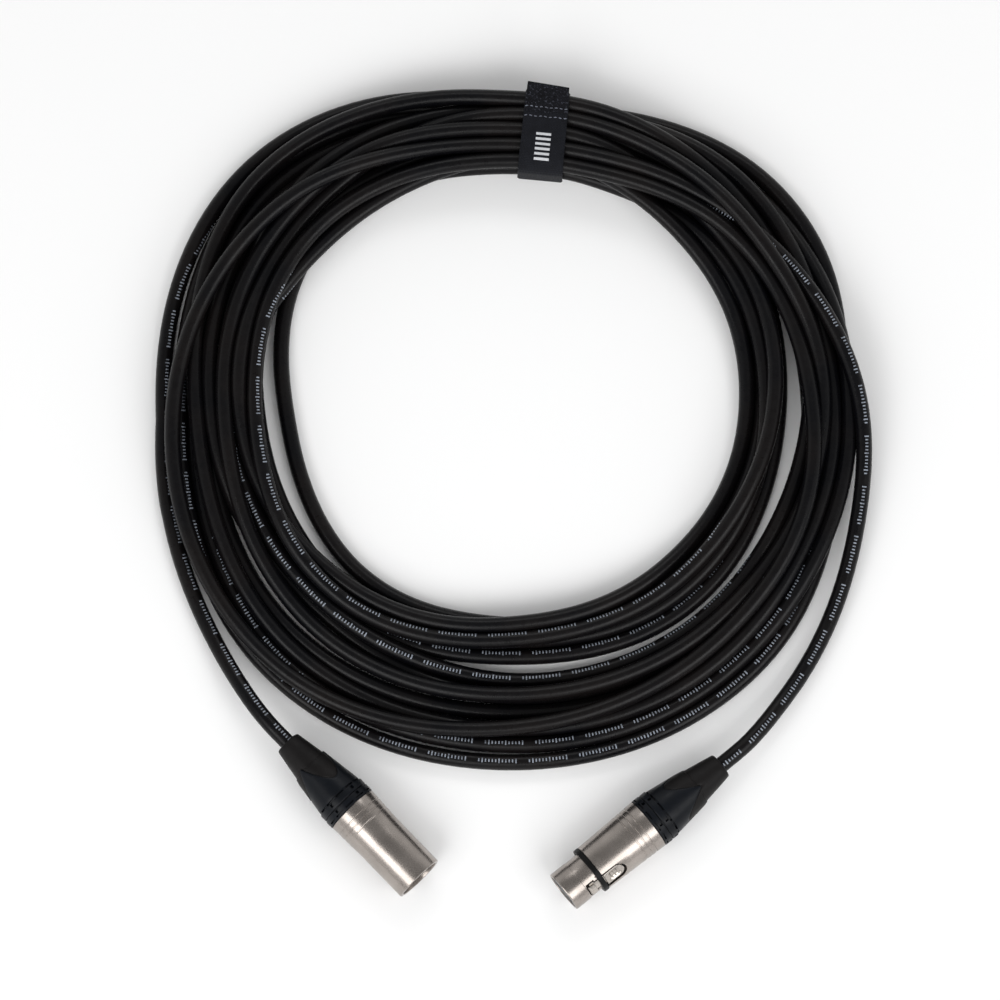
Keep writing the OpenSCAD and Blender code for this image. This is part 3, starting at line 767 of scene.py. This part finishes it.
def bushing_piece(plug):
    """The screw bushing: points between the boot's tongues, a cone, a collar and a threaded spigot."""
    at = collar_angles()
    bridge, square = collar_details(at)
    edge = tongue_edge(at)
    rows = []
    for off, drop in ((0.0, 0.34), (0.07, 0.16), (0.18, 0.05), (0.4, 0.0)):
        rows.append((edge + off, cone_r(edge + off) - drop))
    for u in np.linspace(0.12, 1, 12):
        x = edge + 0.4 + u * (CONE_END - 0.25 - edge - 0.4)
        rows.append((x, cone_r(x)))
    low = CONE_FRONT_R - 0.95 * (1 - bridge)
    top = COLLAR_R - GAP_IN_PLUG
    rows += [
        (CONE_END - 0.1, CONE_FRONT_R - 0.05), (CONE_END, CONE_FRONT_R - 0.15), (CONE_END + 0.02, low),
        (CONE_END + 0.65, low), (CONE_END + 0.67, top - 0.2), (CONE_END + 0.77, top - 0.04), (28.55, top),
        (28.6, top), (28.62, top - square), (29.9, top - square), (29.92, top), (30.6, top),
        (30.85, top - 0.12), (30.9, top - 0.7), (BUSHING_END, top - 0.7), (BUSHING_END, THREAD_R),
    ]
    for x in np.arange(BUSHING_END + 0.3, SPIGOT_END - 0.4, THREAD_PITCH / 6):
        lead = (x / THREAD_PITCH + at / 360) % 1
        depth = THREAD_DEPTH * np.abs(2 * lead - 1)
        rows.append((x, THREAD_R - depth * ease((x - BUSHING_END - 1.6) / 0.8)))
    rows += [
        (SPIGOT_END - 0.3, THREAD_R - 0.35), (SPIGOT_END, THREAD_R - 0.6), (SPIGOT_END, BUSHING_BORE),
        (15.0, BUSHING_BORE), (15.0, 3.45), (BOOT_L, 3.45), (BOOT_L, 5.6),
        (np.maximum(edge - 0.3, BOOT_L), 6.2), (edge, cone_r(edge) - 0.95),
    ]
    return ring_piece(plug + "_bushing", rows, at, "hard_plastic", plug, plug + "_bushing")


def coding_ring_piece(plug):
    """The coding ring between the bushing and the shell."""
    at = collar_angles()
    bridge, square = collar_details(at)
    top, bore = COLLAR_R, THREAD_R + GAP_IN_PLUG
    groove = top - 0.85 * (1 - bridge)
    rows = [
        (RING_START, bore), (RING_START, top - 0.3), (RING_START + 0.06, top - 0.08),
        (RING_START + 0.25, top), (31.5, top), (31.52, top - square), (32.65, top - square), (32.67, top),
        (33.1, top), (33.12, groove), (33.7, groove), (33.72, top),
        (RING_END - 0.25, top), (RING_END - 0.06, top - 0.08), (RING_END, top - 0.3), (RING_END, bore),
    ]
    return ring_piece(plug + "_coding_ring", rows, at, "hard_plastic", plug, plug + "_coding_ring")


def shell_back(back_r, front_x, front_r, groove_r):
    """Corners of a shell's outside from its back end to front_x, with the three grip grooves cut in it."""
    corners = [(SHELL_START, THREAD_R + GAP_IN_PLUG, 0), (SHELL_START, back_r, 0.3)]
    for x in SHELL_GROOVES:
        r = back_r + (front_r - back_r) * (x - SHELL_START) / (front_x - SHELL_START)
        corners += [(x - 0.08, r, 0), (x, r - 0.06, 0), (x + 0.06, groove_r, 0)]
        end = x + GROOVE_W
        corners += [(end - 0.06, groove_r, 0), (end, r - 0.06, 0), (end + 0.08, r, 0)]
    return corners + [(front_x, front_r, 1.5)]


def male_shell_piece():
    """The male shell: its socket has a key rib and a pocket for the other plug's latch."""
    corners = shell_back(10.0, THREAD_END + 6, 9.5, 9.62)
    corners += [(MALE_END, 9.5, 0.45), (MALE_END, MATING_BORE, 0.3)]
    for edge in (RIB[1], POCKET[1], POCKET[0], RIB[0]):
        corners += [(edge + 0.025, MATING_BORE, 0), (edge - 0.025, MATING_BORE, 0)]
    corners += [(THREAD_END, MATING_BORE, 0), (THREAD_END, THREAD_R + GAP_IN_PLUG, 0)]
    pocket_half = math.degrees(math.asin(POCKET_HALF / MATING_BORE))
    rib_half = math.degrees(RIB_HALF / MATING_BORE)
    at = angles([-pocket_half, pocket_half, KEYWAY - rib_half, KEYWAY + rib_half])
    pocket, rib = inside(at, 0, pocket_half), inside(at, -KEYWAY, rib_half)
    rows = []
    for x, r in rounded(corners):
        r = np.full(at.shape, r)
        if abs(r[0] - MATING_BORE) < 1e-6:
            r += POCKET_DEPTH * pocket * (POCKET[0] < x < POCKET[1]) - RIB_H * rib * (RIB[0] < x < RIB[1])
        rows.append((x, r))
    return ring_piece("male_shell", rows, at, "nickel", "male", "cable")


def prism(outline, low, high):
    """A closed prism over an outline in X and Y, from z = low to high."""
    count = len(outline)
    verts = [(x, y, low) for x, y in outline] + [(x, y, high) for x, y in outline]
    faces = [tuple(reversed(range(count))), tuple(range(count, 2 * count))]
    faces += [(k, (k + 1) % count, count + (k + 1) % count, count + k) for k in range(count)]
    return verts, faces


def prism_side(outline, low, high):
    """A closed prism over an outline in X and Z, from y = low to high."""
    verts, faces = prism(outline, low, high)
    return [(x, y, z) for x, z, y in verts], faces


def box_mesh(x, y, z):
    """A box between two values of each axis."""
    return prism([(x[0], y[0]), (x[1], y[0]), (x[1], y[1]), (x[0], y[1])], *z)


def joined(*parts):
    """Several meshes as one."""
    verts, faces = [], []
    for v, f in parts:
        faces += [tuple(i + len(verts) for i in face) for face in f]
        verts += list(v)
    return verts, faces


def apply_modifiers(obj):
    """Replaces obj's mesh with what its modifiers make of it."""
    graph = bpy.context.evaluated_depsgraph_get()
    mesh = bpy.data.meshes.new_from_object(obj.evaluated_get(graph))
    old = obj.data
    obj.modifiers.clear()
    obj.data = mesh
    bpy.data.meshes.remove(old)


def cut(obj, cutters):
    """Takes the closed meshes in cutters out of obj."""
    made = []
    for k, (verts, faces) in enumerate(cutters):
        cutter = put("cutter", mesh_of("cutter", verts, faces))
        cutter.matrix_world = obj.matrix_world
        bm = bmesh.new()
        bm.from_mesh(cutter.data)
        bmesh.ops.recalc_face_normals(bm, faces=bm.faces)
        bm.to_mesh(cutter.data)
        bm.free()
        modifier = obj.modifiers.new(f"cut_{k}", "BOOLEAN")
        modifier.operation = "DIFFERENCE"
        modifier.solver = "EXACT"
        modifier.object = cutter
        made.append(cutter)
    bpy.context.view_layer.update()
    apply_modifiers(obj)
    for cutter in made:
        bpy.data.objects.remove(cutter)


def bevelled(obj, width, segments=2):
    """Rounds obj's sharp edges."""
    modifier = obj.modifiers.new("bevel", "BEVEL")
    modifier.width = width * MM
    modifier.segments = segments
    modifier.limit_method = "ANGLE"
    modifier.angle_limit = math.radians(40)
    bpy.context.view_layer.update()
    apply_modifiers(obj)


def latch_outline(room, end):
    """The arched outline of the latch's pad, in X and Y."""
    half = LATCH_W / 2 + room
    middle = LATCH_BACK - room + half
    arc = [math.radians(90 + 180 * k / 20) for k in range(21)]
    return [(middle + half * math.cos(a), half * math.sin(a)) for a in arc] + [(end, -half), (end, half)]


def female_shell_piece():
    """The female shell with its nose, the latch's opening and the keyway cut out of it."""
    relief = NOSE_R - 0.2
    corners = shell_back(10.1, THREAD_END + 4, 9.7, 9.65)
    corners += [
        (NOSE_START, 9.35, 0.35), (NOSE_START, relief, 0), (68.0, relief, 0.1), (68.05, NOSE_R, 0.1),
        (FEMALE_END, NOSE_R, 0.5), (FEMALE_END, NOSE_BORE, 0.2),
        (THREAD_END, NOSE_BORE, 0), (THREAD_END, THREAD_R + GAP_IN_PLUG, 0),
    ]
    obj = ring_piece("female_shell", rounded(corners), angles(), "nickel", "female", "cable")
    slot_half, hook_half = ARM_HALF + LATCH_ROOM, HOOK_HALF + LATCH_ROOM
    key = math.radians(KEYWAY)
    bar, bar_faces = box_mesh((NOSE_START + 2.1, 80), (-0.65, 0.65), (7.5, 9))
    cos, sin = math.cos(key), math.sin(key)
    bar = [(x, y * cos - z * sin, y * sin + z * cos) for x, y, z in bar]
    cut(obj, [
        prism(latch_outline(LATCH_ROOM, NOSE_START + 1), 6.3, 12),
        box_mesh((NOSE_START - 1, 67.8), (-slot_half, slot_half), (5.3, 12)),
        box_mesh((64.0, 67.6), (-hook_half, hook_half), (5.3, 12)),
        (bar, bar_faces),
    ])
    bevelled(obj, 0.2, 3)
    finish_piece(obj, "nickel")
    return obj


def seal_ring_piece():
    """The rubber ring at the nose's root."""
    back, front = NOSE_START + 0.05, NOSE_START + 2.0
    corners = [(back, 7.8, 0.1), (back, 9.45, 0.15), (front, 9.45, 0.3), (front, 7.8, 0.1)]
    return ring_piece("female_seal_ring", rounded(corners, 5), angles(), "seal_rubber", "female", "cable")


def latch_piece():
    """The thumb latch: an arched, ribbed pad on an arm with a T-shaped hook."""
    rows, across = 22, 14
    start, reach = LATCH_BACK + LATCH_EASE, LATCH_W / 2 - LATCH_EASE
    pad = []
    for i in range(rows + 1):
        x = start + (LATCH_PAD_END - start) * (i / rows) ** 1.4
        half = math.sqrt(max(reach**2 - max(start + reach - x, 0) ** 2, 0.01))
        for j in range(across + 1):
            y = half * math.sin(math.pi / 2 * (2 * j / across - 1))
            rise = math.sqrt(LATCH_PAD_R**2 - y**2)
            # A thumb hollow between the ribs and a raised rim
            hollow = 0.95 * ease(1.5 - abs(x - 56.2) / 2.6) * ease(1.5 - abs(y) / 1.5)
            pad.append((x, y, rise - hollow))
    columns = across + 1
    top = len(pad)
    pad += [(x, y, 7.9) for x, y, _ in pad]
    faces = grid_faces(rows + 1, columns, closed_columns=False)
    faces += [tuple(top + k for k in reversed(f)) for f in faces]
    rim = list(range(columns)) + [i * columns + across for i in range(1, rows + 1)]
    rim += [rows * columns + j for j in range(across - 1, -1, -1)]
    rim += [i * columns for i in range(rows - 1, 0, -1)]
    faces += [(a, b, top + b, top + a) for a, b in zip(rim, rim[1:] + rim[:1])]
    ribs = [
        tube_mesh([(x, y, 8.25 - 0.03 * y * y) for y in np.linspace(-1.6, 1.6, 9)], 0.36, 8)[:2]
        for x in (54.6, 56.0, 57.4)
    ]
    pivot = tube_mesh([(52.4, y, 7.5) for y in np.linspace(-ARM_HALF, ARM_HALF, 3)], 0.5, 16)[:2]
    mesh = joined(
        (pad, faces), *ribs, pivot,
        box_mesh((54, 67.4), (-ARM_HALF, ARM_HALF), (6.7, 7.6)),
        box_mesh((54, LATCH_PAD_END), (-1.7, 1.7), (7.5, 8.0)),
        box_mesh((64.4, 66.4), (-HOOK_HALF, HOOK_HALF), (6.7, 7.6)),
        prism_side(HOOK, -ARM_HALF, ARM_HALF),
    )
    obj = mesh_piece(
        "female_latch_look", *mesh, "latch_nickel", ["female_latch"], "female_latch", PLUGS["female"],
    )
    bevelled(obj, 0.12)
    finish_piece(obj, "latch_nickel")
    return obj


for plug in PLUGS:
    boot_piece(plug)
    bushing_piece(plug)
    coding_ring_piece(plug)
male_shell_piece()
female_shell_piece()
seal_ring_piece()
latch_piece()

cord, cord_line, cord_length = cable()

# ---- The tie: a woven strap round the bundle, whose end lifts off ----

TIE_FRAME = (
    Matrix.Translation((COIL_CENTRE[0] * MM, COIL_CENTRE[1] * MM, 0))
    @ Matrix.Rotation(math.radians(TIE_TURN), 4, "Z")
)
# Points across each face of a tape, and how far in from its sides a tape gets thinner
TAPE_ACROSS = 25
TAPE_EDGE = 0.45
# How far apart the strap's dips are on top of the bundle
TOP_DIPS = 5.85


def tape(node, middle, widths, thickness, slot, closed=False):
    """A flat tape with soft edges along middle, given as points (y, z), that stands for a CAD node."""
    middle = np.asarray(middle, float)
    way = np.roll(middle, -1, 0) - np.roll(middle, 1, 0) if closed else np.gradient(middle, axis=0)
    way /= np.linalg.norm(way, axis=1)[:, None]
    across = np.concatenate([np.linspace(-1, 1, TAPE_ACROSS), np.linspace(1, -1, TAPE_ACROSS)])
    side = np.repeat([1, -1], TAPE_ACROSS)
    verts = []
    for (y, z), (dy, dz), width in zip(middle, way, np.broadcast_to(widths, len(middle))):
        for a, up in zip(across, side):
            off = max(abs(a) * width / 2 - width / 2 + TAPE_EDGE, 0) / TAPE_EDGE
            t = up * thickness / 2 * (0.25 + 0.75 * math.sqrt(max(1 - off**2, 0.0)))
            verts.append((a * width / 2, y - dz * t, z + dy * t))
    faces = grid_faces(len(middle), len(across), closed_rows=closed)
    if not closed:
        faces += end_faces(len(middle), len(across))
    return mesh_piece(node + "_look", verts, faces, slot, [node], None, TIE_FRAME)


def place_tape(obj, measure):
    """Gives each point its place on the tape, for the weave: along, across and which face it is on."""
    values = np.array([measure(v.co / MM) for v in obj.data.vertices], float) * MM
    values[:, 2] = np.where(np.arange(len(values)) % (2 * TAPE_ACROSS) < TAPE_ACROSS, 1, -1)
    found = obj.data.attributes.new("tape_place", "FLOAT_VECTOR", "POINT")
    found.data.foreach_set("vector", values.ravel().astype(np.float32))


def strap_loop():
    """The middle of the strap's thickness round the bundle, with the small dips between the cables on top."""
    half = STRAP_T / 2 + GAP
    r = BUNDLE_CORNER + half
    top = BUNDLE_TOP + half
    inner, outer, low, high = BUNDLE_IN - half + r, BUNDLE_OUT + half - r, STRAP_T / 2 + r, top - r
    points = []
    for cy, cz, start in ((outer, high, 90), (outer, low, 0), (inner, low, -90), (inner, high, -180)):
        for a in np.radians(np.linspace(start, start - 90, 13)):
            points.append((cy + r * math.cos(a), cz + r * math.sin(a)))
    for y in np.linspace(inner, outer, 22)[1:-1]:
        wave = math.cos((y - inner + r) / TOP_DIPS * 2 * math.pi)
        points.append((y, top - 0.12 * (1 - wave) / 2))
    return points


def round_loop(p):
    """A point's measure along and across the strap: by y on top and below, by z at the sides."""
    middle = BUNDLE_TOP / 2
    return (p.y if abs(p.z - middle) > middle - 2 else p.z + (BUNDLE_IN + BUNDLE_OUT) / 2, p.x, 0)


def tie():
    """The strap, the flap that peels up at its hinge, the hook tape sewn to it and the stitches."""
    strap = tape("tie_strap", strap_loop(), STRAP_W, STRAP_T, "strap_weave", closed=True)
    place_tape(strap, round_loop)
    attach(strap, "cable")

    # The end: smooth woven from the inner side over the top to the seam, then hook tape
    corner_r = BUNDLE_CORNER + GAP + STRAP_T + FLAP_T / 2 + 0.05
    centre = (BUNDLE_IN + BUNDLE_CORNER, BUNDLE_TOP - BUNDLE_CORNER)
    side_y = centre[0] - corner_r
    body = [(side_y, z) for z in np.linspace(4.0, centre[1], 8)[:-1]]
    for a in np.radians(np.linspace(180, 90, 12)):
        body.append((centre[0] + corner_r * math.cos(a), centre[1] + corner_r * math.sin(a)))
    top = centre[1] + corner_r
    body += [(y, top + 0.05 * math.sin(y * 1.1)) for y in np.linspace(103.2, FLAP_END, 30)]
    widths = np.linspace(STRAP_W + 0.4, STRAP_W - 0.3, len(body))
    flap = tape("tie_flap", body, widths, FLAP_T, "strap_weave")
    set_material(flap, "strap_marked")
    place_tape(flap, lambda p: (p.y if p.z > centre[1] else p.z + side_y - centre[1], p.x, 0))
    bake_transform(flap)
    ys = np.linspace(FLAP_END, FLAP_STOP, 30)
    curl = [(y, FLAP_Z + FLAP_T / 2 + 0.5 * ease((y - 124.5) / 6) ** 2) for y in ys]
    widths = np.linspace(STRAP_W - 0.3, STRAP_W - 0.9, len(ys))
    tab = tape("tie_hook_tab", curl, widths, FLAP_T, "hook_tape")
    for vert in tab.data.vertices:
        out = (vert.co.y / MM - FLAP_END) / (FLAP_STOP - FLAP_END)
        vert.co.y -= END_SLANT * vert.co.x * float(ease(out))
    place_tape(tab, lambda p: (p.y, p.x, 0))
    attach(tab, "tie_flap")

    # Two rows of stitches, each a short thread that dips into the tape at both ends
    parts = []
    pitch = STRAP_W / STITCH_COUNT
    for y in STITCH_ROWS:
        for k in range(STITCH_COUNT):
            x = -STRAP_W / 2 + (k + 0.5) * pitch
            line = [
                (x + 0.42 * c, y + 0.12 * math.sin(k * 2.3 + c), FLAP_Z + FLAP_T - 0.12 + 0.22 * (1 - c * c))
                for c in np.linspace(-1, 1, 7)
            ]
            parts.append(tube_mesh(line, 0.19, 8)[:2])
    mesh_piece("tie_stitching_look", *joined(*parts), "thread", ["tie_stitching"], "tie_flap", TIE_FRAME)


tie()

# ---- Finishes for the CAD nodes that stay as they are ----

for part in frame["record"]["subparts"]:
    node = frame["nodes"][part["node"]]
    if not node.hide_render:
        set_material(node, part["material_slot"])


# ---- Floor, light and camera ----

# The camera: what it looks at, from how high and how far, and the width that it sees there, in millimetres
CAMERA_TARGET = (-5.6, -1.5, 0.0)
CAMERA_ELEVATION = 80.0
CAMERA_DISTANCE = 2500.0
FIELD = 372.5
# The room's brightness low down and overhead, and between which heights it changes
ROOM, ROOM_CHANGE = (0.73, 0.31), (0.35, 0.85)
# Each light's name, place in metres, size and watts
LIGHTS = (
    ("key", (-0.8, -1.15, 1.3), (1.5, 1.0), 17.5),
    ("fill", (0.9, -1.0, 1.2), (1.4, 1.0), 14),
    ("back", (0.1, 1.3, 1.3), (1.4, 0.5), 5),
)


def studio():
    """A paper floor in a pale room, three soft lights and the camera."""
    half = 3000
    corners = [(-half, -half, 0), (half, -half, 0), (half, half, 0), (-half, half, 0)]
    floor = put("floor", mesh_of("floor", corners, [(0, 1, 2, 3)]))
    f = Finish("floor_paper", (0.93, 0.93, 0.93), 0.9, Specular_IOR_Level=0.1)
    f.bump(f.noise(60, 3), 0.02)
    floor.data.materials.append(f.material)

    # A pale room, darker overhead where the camera is
    world = bpy.data.worlds.new("studio")
    world.use_nodes = True
    tree = world.node_tree
    way = add_node(tree, "TexCoord").outputs["Generated"]
    inputs = dict(zip(("From Min", "From Max", "To Min", "To Max"), ROOM_CHANGE + ROOM))
    inputs["Value"] = add_node(tree, "SeparateXYZ", {0: way}).outputs["Z"]
    ramp = add_node(tree, "MapRange", inputs, interpolation_type="SMOOTHSTEP")
    feed(tree, tree.nodes["Background"].inputs["Color"], (1, 1, 1, 1))
    feed(tree, tree.nodes["Background"].inputs["Strength"], ramp.outputs[0])
    bpy.context.scene.world = world
    for name, at, size, watts in LIGHTS:
        lamp = bpy.data.lights.new(name, "AREA")
        lamp.shape = "RECTANGLE"
        lamp.size, lamp.size_y = size
        lamp.energy = watts
        holder = put(name, lamp)
        holder.location = at
        holder.rotation_euler = (-Vector(at)).to_track_quat("-Z", "Y").to_euler()

    lens = bpy.data.cameras.new("camera")
    lens.sensor_width = 36.0
    lens.lens = lens.sensor_width * CAMERA_DISTANCE / FIELD
    lens.clip_end = 20
    camera = put("camera", lens)
    up = math.radians(CAMERA_ELEVATION)
    back = Vector((0, -math.cos(up), math.sin(up)))
    camera.location = (Vector(CAMERA_TARGET) + back * CAMERA_DISTANCE) * MM
    camera.rotation_euler = back.to_track_quat("Z", "Y").to_euler()
    bpy.context.scene.camera = camera
    bpy.context.scene.view_settings.view_transform = "Standard"
    bpy.context.scene.view_settings.look = "None"


studio()
